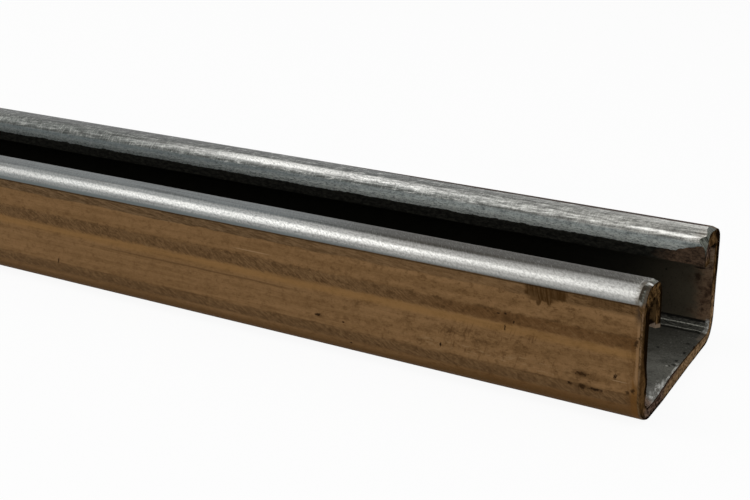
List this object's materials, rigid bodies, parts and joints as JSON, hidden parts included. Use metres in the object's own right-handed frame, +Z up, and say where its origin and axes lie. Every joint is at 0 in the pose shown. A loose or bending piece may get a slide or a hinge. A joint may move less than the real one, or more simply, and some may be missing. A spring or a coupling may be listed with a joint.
{
  "type": "strut channel",
  "caption": "Length of shallow plain framing channel: a C-shaped steel section, open along its top between two lips turned down into it.",
  "frame": {"origin": "centre of the underside (the channel's flat back), halfway along the length", "axes": "+X along the channel, +Y across it, +Z up out of the open slot"},
  "size_m": [1, 0.0412, 0.0206],
  "materials": {
    "zinc_steel": "zinc-coated strip, weathered: brown staining on the walls, bare bright bands on the lips"
  },
  "bodies": {
    "root": {"channel": "zinc_steel"}
  },
  "joints": []
}
